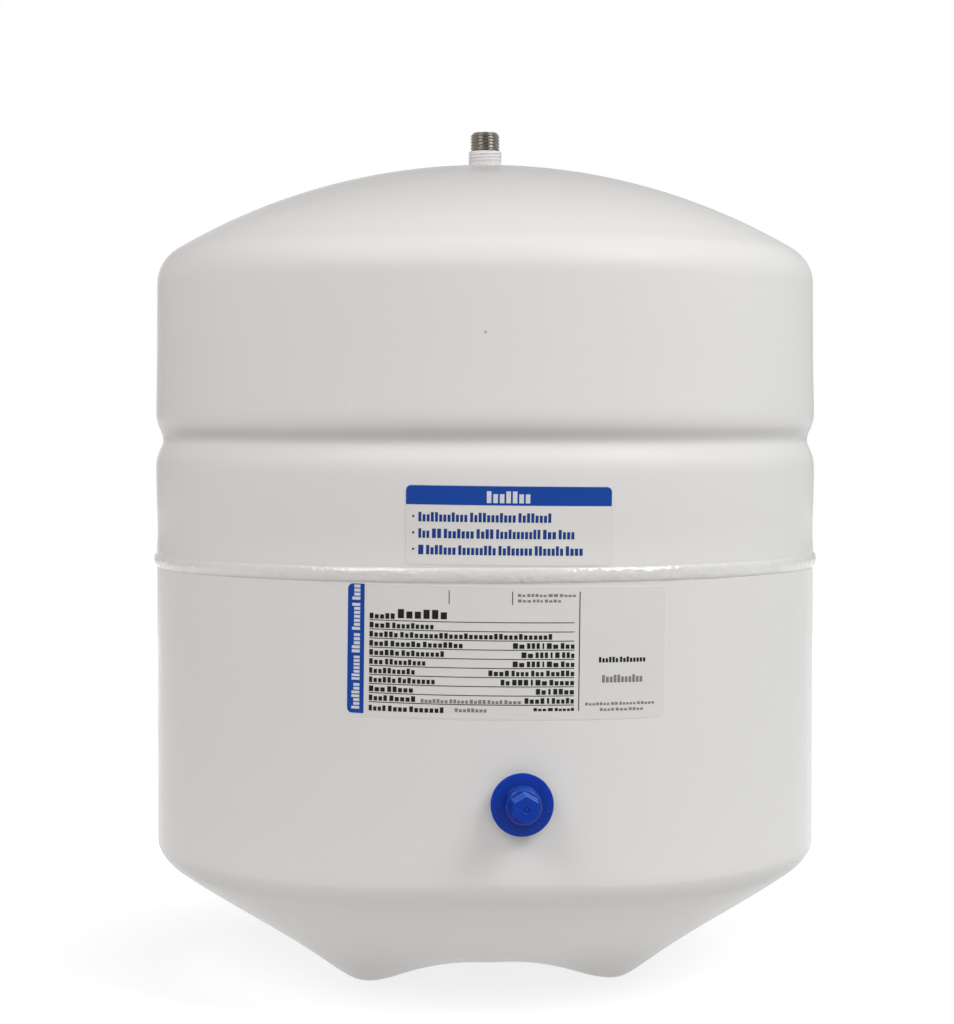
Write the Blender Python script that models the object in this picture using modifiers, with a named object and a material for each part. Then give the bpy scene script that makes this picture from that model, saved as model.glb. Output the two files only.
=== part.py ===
"""Reverse osmosis storage tank, about 18 litres.

A painted steel pressure vessel of two drawn shells. A rubber diaphragm, clamped behind the
roll groove, parts the water under the top dome from the air below it. The water goes in and
out through the threaded nipple on top, and the air is topped up at the capped valve in front.

Metres, +Z up. The origin is on the vessel's axis, on the ground between the three feet. The
air valve points along -Y. An azimuth is an angle about +Z, counted from -Y towards +X.
"""

from math import asin, atan2, cos, exp, hypot, pi, radians, sin, sqrt

import bmesh
import bpy
from mathutils import Matrix

# Fits between pieces
gap = 0.0003

# Vessel
vessel_radius = 0.1400
steel_wall = 0.0012
dome_rise = 0.1169
dome_radius = 0.2565
dome_knuckle = 0.0170
base_clearance = 0.0046
base_radius = 0.2340
base_knuckle = 0.0165
base_draft = 0.0004

# Roll groove that holds the clamp ring, above the weld, and the slight waves of the wall
groove_rise = 0.0505
groove_depth = 0.00295
groove_width = 0.0059
shoulder_swell = 0.00045
waist_rise = 0.0130
waist_depth = 0.0002

# Girth weld above the air valve, and the joggled lap joint behind it
weld_rise = 0.0865
weld_half_height = 0.0031
weld_crown = 0.0012
crown_angle = radians(75)
lower_edge_drop = 0.0008
joggle_start = 0.0027
joggle_length = 0.0016
lap_length = 0.0110

# Three feet pressed into the base
foot_count = 3
foot_circle = 0.0593
foot_turn = radians(-2.0)
foot_flank_out = 0.77
foot_flank_side = 0.56
foot_flank_in = 0.35
foot_sole = 0.0026
foot_round = 0.0026
foot_fillet = 0.0093
foot_reach = 0.0890
sole_ring_out = 0.0013
sole_ring_in = 0.0032

# Water side
liner_wall = 0.0015
liner_port_step = 0.0006
diaphragm_wall = 0.0015
clamp_wall = 0.0015
clamp_above_groove = 0.0105
clamp_below_groove = 0.0085
diaphragm_drape = 0.0100

# Water connection, from its bore outwards
nipple_bore = 0.00375
nipple_wall = 0.00125
nipple_thread_height = 0.0011
nipple_rise = 0.0086
nipple_chamfer = 0.0015
nipple_collar_width = 0.0010
nipple_collar_height = 0.0014
bushing_wall = 0.00085
bushing_rise = 0.0067
bushing_thread_inset = 0.00025
bushing_waist_inset = 0.00050
bushing_hub_height = 0.0024
bushing_flange_width = 0.00685
bushing_flange_height = 0.0032
port_ring_section = 0.0010

# Valve core, from its pin outwards
pin_radius = 0.0006
pin_collar_height = 0.0006
pin_travel = 0.0015
pin_stub = 0.0022
seal_width = 0.0006
seal_height = 0.0016
core_barrel_wall = 0.00075
core_barrel_length = 0.0042
core_barrel_clearance = 0.00035
core_seat_width = 0.00065
core_head_length = 0.0086
core_head_wall = 0.00045
core_cup_floor = 0.0008
spring_wire = 0.00018
spring_turns = 5

# Air valve, its places measured outwards from the wall
valve_height = 0.0880
drill_reach = 0.0100
stem_tip = 0.0140
stem_wall = 0.0012
stem_thread_inset = 0.00015
stem_chamfer = 0.0006
stem_head_width = 0.0030
stem_head_height = 0.0020
valve_seal_width = 0.0031
valve_seal_height = 0.0018
washer_width = 0.0029
washer_height = 0.0006
nut_wall = 0.0017
nut_height = 0.0018
nut_edge = 0.0003
nut_edge_angle = radians(80)

# Valve cap, from its bore outwards
cap_flange_width = 0.00485
cap_flange_height = 0.0013
cap_flange_dish = 0.0004
cap_hub_wall = 0.00305
cap_hub_taper = 0.0003
cap_hub_height = 0.0061
cap_hub_round = 0.0007
cap_grip_wall = 0.00055
cap_grip_draft = 0.0004
cap_end_wall = 0.00365
cap_dimple_radius = 0.0013
cap_dimple_depth = 0.0006
cap_nub_radius = 0.0004
cap_seal_height = 0.0008
cap_seal_hole = 0.0012

# Labels
film_thickness = 0.0002
label_corner = 0.0020
label_azimuth = radians(-1.9)
label_weld_margin = 0.0006
upper_label_width = 0.0798
upper_label_height = 0.0306
data_label_width = 0.1260
data_label_height = 0.0500

# Facets
shell_steps = 48
layer_steps = 24
fitting_steps = 20
core_steps = 12
dome_pieces = 4
knuckle_pieces = 3
crown_pieces = 4
o_ring_pieces = 6
corner_pieces = 3
spring_points = 6
flank_rings = 7
hollow_rings = 4
ring_crowding = 1.35
groove_stations = (2.45, 1.36, 0.70, 0.0, -0.70, -1.36)
shoulder_station = 1.75

# Places and sizes that follow from the ones above
half_step = pi / shell_steps
facet_sag = vessel_radius * (1 - cos(half_step))
weld_height = valve_height + weld_rise
groove_height = weld_height + groove_rise
dome_apex = groove_height + dome_rise
dome_centre = dome_apex - dome_radius
base_centre = base_clearance + base_radius
base_wall_radius = vessel_radius - base_draft

bushing_top = dome_apex + bushing_rise
nipple_top = bushing_top + nipple_rise
nipple_shank_radius = nipple_bore + nipple_wall
nipple_thread_radius = nipple_shank_radius + nipple_thread_height
nipple_collar_radius = nipple_shank_radius + nipple_collar_width
bushing_neck_radius = nipple_collar_radius + gap + bushing_wall
bushing_flange_radius = bushing_neck_radius + bushing_flange_width
port_ring_radius = bushing_neck_radius + bushing_flange_width / 2

core_barrel_radius = pin_radius + gap + core_barrel_wall
core_seat_radius = core_barrel_radius + core_barrel_clearance
core_bore_radius = core_seat_radius + core_seat_width
core_spring_room = core_bore_radius - gap - core_head_wall
pin_collar_radius = core_spring_room - gap
seal_radius = pin_radius + gap + seal_width
core_top = stem_tip - gap
core_shoulder = core_top - core_head_length
core_bottom = core_shoulder - core_barrel_length
core_floor = core_shoulder + core_cup_floor
pin_foot = core_bottom - 2 * gap - seal_height

stem_thread_radius = core_bore_radius + stem_wall
stem_base_radius = stem_thread_radius + stem_thread_inset
valve_hole_radius = stem_base_radius + gap
washer_top = gap + washer_height
nut_top = washer_top + gap + nut_height
cap_bore_radius = stem_thread_radius + gap
cap_bore_end = stem_tip + 2 * gap + cap_seal_height
cap_rear = nut_top + gap
cap_end = cap_bore_end + cap_end_wall
cap_hub_radius = cap_bore_radius + cap_hub_wall
cap_flange_radius = cap_hub_radius + cap_flange_width


def knuckle_centre(wall_radius, knuckle, dome, centre, side):
    """Centre of the knuckle's arc that touches the wall and the dome; side is 1 up, -1 down."""
    radius = wall_radius - knuckle
    rise = sqrt((dome - knuckle) ** 2 - radius ** 2)
    return radius, centre + side * rise


def arc(centre_r, centre_z, radius, start, end, pieces):
    """Points of an arc in the profile's plane, angles counted from the +r direction."""
    steps = [start + (end - start) * i / pieces for i in range(pieces + 1)]
    return [(centre_r + radius * cos(a), centre_z + radius * sin(a)) for a in steps]


def offset_path(path, distance):
    """The path moved inwards by a distance, with mitred corners."""
    moved = []
    for i, (r, z) in enumerate(path):
        ahead = path[min(i + 1, len(path) - 1)]
        here = path[i] if i + 1 < len(path) else path[i - 1]
        behind = path[i - 1] if i else path[0]
        there = path[i] if i else path[1]
        normals = []
        for (r0, z0), (r1, z1) in ((behind, there), (here, ahead)):
            length = hypot(r1 - r0, z1 - z0)
            normals.append((-(z1 - z0) / length, (r1 - r0) / length))
        (ar, az), (br, bz) = normals
        mitre = distance / (1 + ar * br + az * bz)
        moved.append((r - mitre * (ar + br), z - mitre * (az + bz)))
    return moved


def clip_path(path, top=None, bottom=None):
    """The stretch of a falling path between two heights."""
    kept = []
    for (r0, z0), (r1, z1) in zip(path, path[1:]):
        for limit in (top, bottom):
            if limit is not None and z1 < limit < z0:
                share = (z0 - limit) / (z0 - z1)
                kept.append((r0 + share * (r1 - r0), limit))
        low_enough = top is None or z1 <= top
        high_enough = bottom is None or z1 >= bottom
        if low_enough and high_enough:
            kept.append((r1, z1))
    first_inside = (top is None or path[0][1] <= top) and (bottom is None or path[0][1] >= bottom)
    return ([path[0]] if first_inside else []) + kept


def radius_at(path, height):
    """Radius of a falling path at a height."""
    for (r0, z0), (r1, z1) in zip(path, path[1:]):
        if z1 <= height <= z0:
            return r0 + (r1 - r0) * (z0 - height) / (z0 - z1)
    return path[-1][0]


def height_at(path, radius):
    """Height of a path at a radius, on its way out from the axis."""
    for (r0, z0), (r1, z1) in zip(path, path[1:]):
        if r0 <= radius <= r1:
            return z0 + (z1 - z0) * (radius - r0) / (r1 - r0)
    return path[0][1]


def upper_wall():
    """Outer wall of the upper shell, from the knuckle down to the joggle."""
    points = []
    for share in groove_stations:
        dip = groove_depth * exp(-share ** 2)
        points.append((vessel_radius + shoulder_swell - dip, groove_height + share * groove_width))
    joggle = weld_height + joggle_start
    waist = joggle + waist_rise
    low_shoulder = groove_height - shoulder_station * groove_width
    points.append((vessel_radius + shoulder_swell, low_shoulder))
    points.append((vessel_radius - waist_depth, waist))
    points.append((vessel_radius + waist_depth, joggle))
    return points


def upper_path():
    """Outer outline of the upper shell, from the port's edge down to the end of the lap."""
    centre_r, centre_z = knuckle_centre(vessel_radius, dome_knuckle, dome_radius, dome_centre, 1)
    touch = atan2(centre_z - dome_centre, centre_r)
    port = pi / 2 - asin(port_radius() / dome_radius)
    dome = arc(0, dome_centre, dome_radius, port, touch, dome_pieces)
    knuckle = arc(centre_r, centre_z, dome_knuckle, touch, 0, knuckle_pieces)
    lap_radius = vessel_radius - steel_wall - gap
    lap_top = weld_height + joggle_start - joggle_length
    lap = [(lap_radius, lap_top), (lap_radius, lap_top - lap_length)]
    return dome + knuckle[1:] + upper_wall() + lap


def port_radius():
    return bushing_neck_radius + gap


def lower_edge():
    return weld_height - lower_edge_drop


def lower_path():
    """Outer outline of the lower shell before the feet are pressed, from its edge to the axis."""
    centre_r, centre_z = knuckle_centre(base_wall_radius, base_knuckle, base_radius, base_centre, -1)
    touch = atan2(centre_z - base_centre, centre_r)
    knuckle = arc(centre_r, centre_z, base_knuckle, 0, touch, knuckle_pieces + 1)
    touch_radius = knuckle[-1][0]
    sole_out = foot_circle + sole_ring_out
    sole_in = foot_circle - sole_ring_in
    shares = [(i / flank_rings) ** ring_crowding for i in range(flank_rings - 1, 0, -1)]
    flank = [sole_out + (touch_radius - sole_out) * share for share in shares]
    hollow = [sole_in * (1 - i / hollow_rings) for i in range(1, hollow_rings)]
    rings = flank + [sole_out, sole_in] + hollow + [0.0]
    dome = [(r, base_centre - sqrt(base_radius ** 2 - r ** 2)) for r in rings]
    return [(vessel_radius, lower_edge())] + knuckle + dome


def soft_lower(a, b, reach):
    """The lower of two heights, with a fillet where they meet."""
    near = max(reach - abs(a - b), 0) / reach
    return min(a, b) - near ** 2 * reach / 4


def pressed_height(x, y, z):
    """Height of the base at a point, with the feet pressed down to the ground."""
    radius = hypot(x, y)
    azimuth = atan2(x, -y)
    for i in range(foot_count):
        turn = azimuth - foot_azimuth(i)
        out = radius * cos(turn) - foot_circle
        across = radius * sin(turn)
        flank = foot_flank_out if out > 0 else foot_flank_in
        reach = hypot(flank * out, foot_flank_side * across)
        beyond = max(reach - foot_sole, 0)
        foot = sqrt(beyond ** 2 + foot_round ** 2) - foot_round
        z = soft_lower(z, foot, foot_fillet)
    return max(z, 0)


def foot_azimuth(i):
    return foot_turn - pi / foot_count + 2 * pi * i / foot_count


def clear_scene():
    for item in list(bpy.data.objects):
        bpy.data.objects.remove(item, do_unlink=True)


def collection(name):
    made = bpy.data.collections.new(name)
    bpy.context.scene.collection.children.link(made)
    return made


def material(name, colour, roughness, metallic=0.0):
    made = bpy.data.materials.new(name)
    made.use_nodes = True
    surface = made.node_tree.nodes["Principled BSDF"]
    surface.inputs["Base Color"].default_value = (*colour, 1.0)
    surface.inputs["Roughness"].default_value = roughness
    surface.inputs["Metallic"].default_value = metallic
    return made


def new_object(name, mesh, look, home):
    made = bpy.data.objects.new(name, mesh)
    if look:
        mesh.materials.clear()
        mesh.materials.append(look)
    home.objects.link(made)
    return made


def profile_mesh(name, points, closed):
    """Edges of a profile in the XZ plane."""
    count = len(points)
    edges = [(i, i + 1) for i in range(count - 1)]
    if closed:
        edges.append((count - 1, 0))
    mesh = bpy.data.meshes.new(name)
    mesh.from_pydata([(r, 0, z) for r, z in points], edges, [])
    return mesh


def screw(target, steps, angle=2 * pi):
    turn = target.modifiers.new("turn", "SCREW")
    turn.angle = angle
    turn.steps = steps
    turn.render_steps = steps
    turn.use_merge_vertices = True
    turn.merge_threshold = 1e-6
    turn.use_smooth_shade = True


def thicken(target, thickness):
    """Gives an open surface its wall, on the inner side."""
    wall = target.modifiers.new("wall", "SOLIDIFY")
    wall.thickness = thickness
    wall.offset = -1
    wall.use_even_offset = True


def cut(target, cutter, operation="DIFFERENCE"):
    change = target.modifiers.new(operation.lower(), "BOOLEAN")
    change.operation = operation
    change.solver = "EXACT"
    change.object = cutter


def turned(name, points, look, home, steps, closed=True):
    """A solid of revolution about Z. The profile runs down its outer side."""
    made = new_object(name, profile_mesh(name, points, closed), look, home)
    screw(made, steps)
    return made


def turned_shell(name, path, wall, look, home, steps):
    """A shell turned about Z from its outer outline."""
    made = turned(name, path, look, home, steps, closed=False)
    made.rotation_euler.z = half_step
    thicken(made, wall)
    return made


def evaluated_mesh(item):
    """The item's mesh with its modifiers applied, in world space; the item is removed."""
    bpy.context.view_layer.update()
    graph = bpy.context.evaluated_depsgraph_get()
    mesh = bpy.data.meshes.new_from_object(item.evaluated_get(graph))
    mesh.transform(item.matrix_world)
    bpy.data.objects.remove(item, do_unlink=True)
    return mesh


def as_cutter(item):
    item.hide_render = True
    item.display_type = "WIRE"
    return item


def prism(name, sides, radius_low, radius_high, low, high, look, home):
    """A prism or cone along Z between two heights, one corner towards +Y."""
    shape = bmesh.new()
    bmesh.ops.create_cone(
        shape,
        cap_ends=True,
        segments=sides,
        radius1=radius_low,
        radius2=radius_high,
        depth=high - low,
        matrix=Matrix.Translation((0, 0, (low + high) / 2)),
    )
    mesh = bpy.data.meshes.new(name)
    shape.to_mesh(mesh)
    shape.free()
    return new_object(name, mesh, look, home)


def ring_section(inner, outer, low, high):
    return [(outer, high), (outer, low), (inner, low), (inner, high)]


def face_valve(item):
    """Lays an item that is turned about Z on the valve's axis, its base at the wall."""
    item.matrix_world = Matrix.Translation((0, -vessel_radius, valve_height)) @ Matrix.Rotation(
        pi / 2, 4, "X"
    )
    return item


def build_upper_shell(home, look):
    turned_shell("upper_shell", upper_path(), steel_wall, look, home, shell_steps)


def build_lower_shell(home, cutters, look):
    """The lower shell: turned, then pressed into three feet, then given its wall."""
    blank = turned("blank", lower_path(), look, home, shell_steps, closed=False)
    blank.rotation_euler.z = half_step
    mesh = evaluated_mesh(blank)
    centre_r, centre_z = knuckle_centre(base_wall_radius, base_knuckle, base_radius, base_centre, -1)
    for point in mesh.vertices:
        x, y, z = point.co
        radius = hypot(x, y)
        share = min(max((centre_r - radius) / (centre_r - foot_reach), 0), 1)
        if z < centre_z:
            turn = Matrix.Rotation(foot_turn * share, 3, "Z")
            x, y, z = turn @ point.co
            z = pressed_height(x, y, z)
        point.co = (x, y, z)
    shell = new_object("lower_shell", mesh, look, home)
    thicken(shell, steel_wall)
    drill = prism(
        "valve_hole", fitting_steps, valve_hole_radius, valve_hole_radius,
        -drill_reach, drill_reach, None, cutters,
    )
    cut(shell, as_cutter(face_valve(drill)))


def build_girth_weld(home, look):
    """The weld bead, proud of the wall and filling the notch of the lap joint."""
    toe = vessel_radius + waist_depth + gap
    root = vessel_radius - steel_wall
    root_low = lower_edge() + gap
    shoulder = weld_height + joggle_start - gap
    slope = (vessel_radius + waist_depth - root) / joggle_length
    root_high = shoulder - (toe - root) / slope
    outer = [
        (toe + (weld_crown - gap) * r, weld_height + weld_half_height * z)
        for r, z in arc(0, 0, 1, crown_angle, -crown_angle, crown_pieces)
    ]
    inner = [(toe, root_low), (root, root_low), (root, root_high), (toe, shoulder)]
    weld = turned("girth_weld", outer + inner, look, home, shell_steps)
    weld.rotation_euler.z = half_step


def build_liner(home, look):
    under_shell = offset_path(upper_path(), steel_wall + gap)
    path = clip_path(
        under_shell,
        top=height_at(under_shell, port_radius() + liner_port_step),
        bottom=groove_height - clamp_below_groove,
    )
    turned_shell("liner", path, liner_wall, look, home, layer_steps)


def under_liner():
    """Outline that lies against the liner from inside."""
    return offset_path(upper_path(), steel_wall + liner_wall + 2 * gap)


def bushing_flange_top():
    """The bushing's flange lies under the liner, clear of it out to the flange's edge."""
    return height_at(under_liner(), bushing_flange_radius)


def bushing_bottom():
    return bushing_flange_top() - bushing_flange_height


def build_diaphragm(home, look):
    """The diaphragm lies against the liner, as the air pushes it while the tank is empty."""
    low = bushing_bottom() - gap
    path = clip_path(
        under_liner(),
        top=height_at(under_liner(), bushing_flange_radius + diaphragm_drape),
        bottom=groove_height - clamp_below_groove,
    )
    middle = [(0, low), (bushing_flange_radius + gap, low)]
    turned_shell("diaphragm", middle + path, diaphragm_wall, look, home, layer_steps)


def build_clamp_ring(home, look):
    depth = steel_wall + liner_wall + diaphragm_wall + 3 * gap
    path = clip_path(
        offset_path(upper_path(), depth),
        top=groove_height + clamp_above_groove,
        bottom=groove_height - clamp_below_groove,
    )
    turned_shell("clamp_ring", path, clamp_wall, look, home, layer_steps)


def collar_height():
    return (dome_apex + bushing_bottom()) / 2


def build_bushing(home, look):
    """White plastic bushing: threaded hub outside, neck through the dome, flange under the liner."""
    top = bushing_flange_top()
    bottom = bushing_bottom()
    bore = nipple_shank_radius + gap
    recess = nipple_collar_radius + gap
    low = collar_height() - nipple_collar_height / 2 - gap
    high = collar_height() + nipple_collar_height / 2 + gap
    groove_in = port_ring_radius - port_ring_section - gap
    groove_out = port_ring_radius + port_ring_section + gap
    floor = top - 2 * port_ring_section - gap
    hub = dome_apex + bushing_hub_height
    thread = bushing_neck_radius - bushing_thread_inset
    points = [
        (thread, bushing_top),
        (thread, hub + gap),
        (bushing_neck_radius - bushing_waist_inset, hub),
        (bushing_neck_radius, dome_apex),
        (bushing_neck_radius, top),
        (groove_in, top),
        (groove_in, floor),
        (groove_out, floor),
        (groove_out, top),
        (bushing_flange_radius, top),
        (bushing_flange_radius, bottom),
        (bore, bottom),
        (bore, low),
        (recess, low),
        (recess, high),
        (bore, high),
        (bore, bushing_top),
    ]
    turned("nipple_bushing", points, look, home, fitting_steps)


def build_nipple(home, look):
    """Stainless nipple, held in the bushing by its collar."""
    low = collar_height() - nipple_collar_height / 2
    high = collar_height() + nipple_collar_height / 2
    end = nipple_thread_radius - nipple_chamfer
    points = [
        (end, nipple_top),
        (nipple_thread_radius, nipple_top - nipple_chamfer),
        (nipple_thread_radius, bushing_top + gap),
        (nipple_shank_radius, bushing_top + gap),
        (nipple_shank_radius, high),
        (nipple_collar_radius, high),
        (nipple_collar_radius, low),
        (nipple_shank_radius, low),
        (nipple_shank_radius, bushing_bottom()),
        (nipple_bore, bushing_bottom()),
        (nipple_bore, nipple_top),
    ]
    turned("water_nipple", points, look, home, fitting_steps)


def build_port_ring(home, look):
    centre = bushing_flange_top() - port_ring_section
    section = arc(port_ring_radius, centre, port_ring_section, 2 * pi, 0, o_ring_pieces)[:-1]
    turned("port_o_ring", section, look, home, fitting_steps)


def valve_wall_inside():
    """Depth of the wall's flat inner facet behind the valve."""
    return -(steel_wall + facet_sag + base_draft)


def build_valve_seal(home, look):
    high = valve_wall_inside() - gap
    rim = valve_hole_radius + valve_seal_width
    section = ring_section(valve_hole_radius, rim, high - valve_seal_height, high)
    face_valve(turned("valve_gasket", section, look, home, fitting_steps))


def build_stem(home, look):
    head_high = valve_wall_inside() - valve_seal_height - 2 * gap
    head_low = head_high - stem_head_height
    head_radius = stem_base_radius + stem_head_width
    seat = core_shoulder - gap
    points = [
        (stem_thread_radius - stem_chamfer, stem_tip),
        (stem_thread_radius, stem_tip - stem_chamfer),
        (stem_thread_radius, nut_top + gap),
        (stem_base_radius, nut_top + gap),
        (stem_base_radius, head_high),
        (head_radius, head_high),
        (head_radius, head_low),
        (core_seat_radius, head_low),
        (core_seat_radius, seat - gap),
        (core_bore_radius, seat),
        (core_bore_radius, stem_tip),
    ]
    face_valve(turned("valve_stem", points, look, home, fitting_steps))


def build_washer(home, look):
    rim = valve_hole_radius + washer_width
    section = ring_section(valve_hole_radius, rim, gap, washer_top)
    face_valve(turned("valve_washer", section, look, home, fitting_steps))


def build_nut(home, cutters, look):
    bore = stem_base_radius + gap
    corner = (bore + nut_wall) / cos(pi / 6)
    low = washer_top + gap
    nut = prism("valve_nut", 6, corner, corner, low, nut_top, look, home)
    edge = nut.modifiers.new("edge", "BEVEL")
    edge.width = nut_edge
    edge.segments = 1
    edge.limit_method = "ANGLE"
    edge.angle_limit = nut_edge_angle
    hole = prism("nut_bore", fitting_steps, bore, bore, low - gap, nut_top + gap, None, cutters)
    cut(nut, as_cutter(face_valve(hole)))
    face_valve(nut)


def build_core_body(home, look):
    """Brass insert that screws into the stem. The cup in its head holds the pin's spring."""
    points = [
        (core_bore_radius - gap, core_top),
        (core_bore_radius - gap, core_shoulder),
        (core_barrel_radius, core_shoulder),
        (core_barrel_radius, core_bottom),
        (pin_radius + gap, core_bottom),
        (pin_radius + gap, core_floor),
        (core_spring_room, core_floor),
        (core_spring_room, core_top),
    ]
    face_valve(turned("core_body", points, look, home, core_steps))


def build_core_pin(home, look):
    collar_high = core_top - gap
    collar_low = collar_high - pin_collar_height
    foot_low = pin_foot - pin_collar_height
    end = pin_foot - pin_stub
    points = [
        (0, stem_tip),
        (pin_radius, stem_tip),
        (pin_radius, collar_high),
        (pin_collar_radius, collar_high),
        (pin_collar_radius, collar_low),
        (pin_radius, collar_low),
        (pin_radius, pin_foot),
        (seal_radius, pin_foot),
        (seal_radius, foot_low),
        (pin_radius, foot_low),
        (pin_radius, end),
        (0, end),
    ]
    face_valve(turned("core_pin", points, look, home, core_steps, closed=False))


def build_core_seal(home, look):
    high = core_bottom - gap
    section = ring_section(pin_radius + gap, seal_radius, high - seal_height, high)
    face_valve(turned("core_seal", section, look, home, core_steps))


def build_core_spring(home, look):
    """Coil under the pin's collar. It leaves the pin's travel free above the cup's floor."""
    top = core_top - 2 * gap - pin_collar_height - spring_wire
    bottom = core_floor + gap + pin_travel + spring_wire
    middle = (pin_radius + core_spring_room) / 2
    count = spring_turns * spring_points + 1
    curve = bpy.data.curves.new("core_spring", "CURVE")
    curve.dimensions = "3D"
    curve.bevel_depth = spring_wire
    curve.bevel_resolution = 1
    curve.use_fill_caps = True
    wire = curve.splines.new("POLY")
    wire.points.add(count - 1)
    for i, point in enumerate(wire.points):
        turn = 2 * pi * i / spring_points
        height = bottom + (top - bottom) * i / (count - 1)
        point.co = (middle * cos(turn), middle * sin(turn), height, 1)
    curve.materials.append(look)
    spring = bpy.data.objects.new("core_spring", curve)
    home.objects.link(spring)
    face_valve(spring)


def build_cap(home, cutters, look):
    """Screw cap: flange, round hub and hexagonal grip, with a blind bore for the stem."""
    front = cap_rear + cap_flange_height
    hub_top = front + cap_hub_height
    hub_tip = cap_hub_radius - cap_hub_taper
    points = [
        (0, hub_top),
        (hub_tip - cap_hub_round, hub_top),
        (hub_tip, hub_top - cap_hub_round),
        (cap_hub_radius, front),
        (cap_flange_radius, front - cap_flange_dish),
        (cap_flange_radius, cap_rear),
        (0, cap_rear),
    ]
    cap = turned("valve_cap", points, look, home, fitting_steps, closed=False)
    to_corner = 1 / cos(pi / 6)
    flat = cap_bore_radius + cap_grip_wall
    grip = prism(
        "cap_grip", 6, (flat + cap_grip_draft) * to_corner, flat * to_corner,
        hub_top - cap_hub_round, cap_end, None, cutters,
    )
    cut(cap, as_cutter(face_valve(grip)), "UNION")
    bore = prism(
        "cap_bore", fitting_steps, cap_bore_radius, cap_bore_radius,
        cap_rear - cap_flange_height, cap_bore_end, None, cutters,
    )
    cut(cap, as_cutter(face_valve(bore)))
    floor = cap_end - cap_dimple_depth
    dimple = turned(
        "cap_dimple",
        ring_section(cap_nub_radius, cap_dimple_radius, floor, cap_end + cap_dimple_depth),
        None, cutters, core_steps,
    )
    cut(cap, as_cutter(face_valve(dimple)))
    face_valve(cap)


def build_cap_seal(home, look):
    low = stem_tip + gap
    section = ring_section(cap_seal_hole, stem_thread_radius, low, low + cap_seal_height)
    face_valve(turned("cap_seal", section, look, home, fitting_steps))


def facet_share(azimuth):
    """How near the faceted wall is to its axis at an azimuth, as a share of its radius."""
    beside = (azimuth + half_step) % (2 * half_step) - half_step
    return cos(half_step) / cos(beside)


def build_label(name, width, top, height, wall_path, home, look):
    """A film on the facets of the wall, with rounded corners, centred on the labels' azimuth."""
    straight = width / 2 - label_corner
    turns = [pi / 2 * i / corner_pieces for i in range(corner_pieces + 1)]
    corner = [straight + label_corner * sin(turn) for turn in turns]
    folds = [(2 * i + 1) * half_step - label_azimuth for i in range(-shell_steps, shell_steps)]
    middle = [vessel_radius * fold for fold in folds if abs(vessel_radius * fold) < straight]
    columns = [-s for s in reversed(corner)] + middle + corner
    levels = [z for r, z in wall_path if top - height + label_corner < z < top - label_corner]
    heights = [top - label_corner] + levels + [top - height + label_corner]
    sheet = bmesh.new()
    rows = []
    for along in columns:
        into = max(abs(along) - straight, 0)
        rounding = label_corner - sqrt(max(label_corner ** 2 - into ** 2, 0))
        column = [top - rounding] + heights + [top - height + rounding]
        azimuth = label_azimuth + along / vessel_radius
        points = []
        for z in column:
            radius = (radius_at(wall_path, z) + gap) * facet_share(azimuth)
            points.append(sheet.verts.new((radius * sin(azimuth), -radius * cos(azimuth), z)))
        rows.append(points)
    for left, right in zip(rows, rows[1:]):
        for i in range(len(left) - 1):
            sheet.faces.new((left[i], left[i + 1], right[i + 1], right[i]))
    bmesh.ops.remove_doubles(sheet, verts=sheet.verts, dist=1e-6)
    mesh = bpy.data.meshes.new(name)
    sheet.to_mesh(mesh)
    sheet.free()
    label = new_object(name, mesh, look, home)
    film = label.modifiers.new("film", "SOLIDIFY")
    film.thickness = film_thickness
    film.offset = 1


def main():
    clear_scene()
    home = collection("reverse_osmosis_storage_tank")
    cutters = collection("cutters")
    paint = material("white_paint", (0.78, 0.78, 0.77), 0.22)
    bead = material("painted_weld", (0.80, 0.80, 0.79), 0.20)
    polypropylene = material("liner_plastic", (0.85, 0.86, 0.84), 0.45)
    rubber = material("black_rubber", (0.02, 0.02, 0.02), 0.75)
    plated = material("plated_steel", (0.55, 0.56, 0.58), 0.35, 1.0)
    stainless = material("stainless_steel", (0.42, 0.41, 0.38), 0.22, 1.0)
    white_plastic = material("white_plastic", (0.83, 0.83, 0.84), 0.35)
    brass = material("brass", (0.70, 0.52, 0.24), 0.30, 1.0)
    blue_plastic = material("blue_plastic", (0.012, 0.075, 0.46), 0.30)
    clear_film = material("clear_film", (0.80, 0.80, 0.80), 0.25)
    label_film = material("label_film", (0.76, 0.77, 0.77), 0.30)

    build_upper_shell(home, paint)
    build_lower_shell(home, cutters, paint)
    build_girth_weld(home, bead)
    build_liner(home, polypropylene)
    build_diaphragm(home, rubber)
    build_clamp_ring(home, plated)
    build_bushing(home, white_plastic)
    build_nipple(home, stainless)
    build_port_ring(home, rubber)
    build_valve_seal(home, rubber)
    build_stem(home, brass)
    build_washer(home, plated)
    build_nut(home, cutters, brass)
    build_core_body(home, brass)
    build_core_pin(home, brass)
    build_core_seal(home, rubber)
    build_core_spring(home, plated)
    build_cap(home, cutters, blue_plastic)
    build_cap_seal(home, rubber)

    label_base = weld_height + weld_half_height + label_weld_margin
    build_label(
        "upper_label", upper_label_width, label_base + upper_label_height, upper_label_height,
        upper_path(), home, clear_film,
    )
    label_top = weld_height - weld_half_height - label_weld_margin
    build_label(
        "data_label", data_label_width, label_top, data_label_height,
        lower_path(), home, label_film,
    )


main()
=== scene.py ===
"""Looks of the reverse osmosis storage tank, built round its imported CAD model.

Finely meshed pieces stand for the CAD nodes that show: the drawn shells, the weld bead, the
threads, the screw cap and the labels with their print. Metres, +Z up. The air valve points
along -Y. An azimuth is an angle about +Z, counted from -Y towards +X.
"""

from math import asin, atan2, ceil, cos, exp, hypot, pi, radians, sin, sqrt

import bmesh
import bpy
import numpy as np
from mathutils import Matrix, Vector, noise


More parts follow.
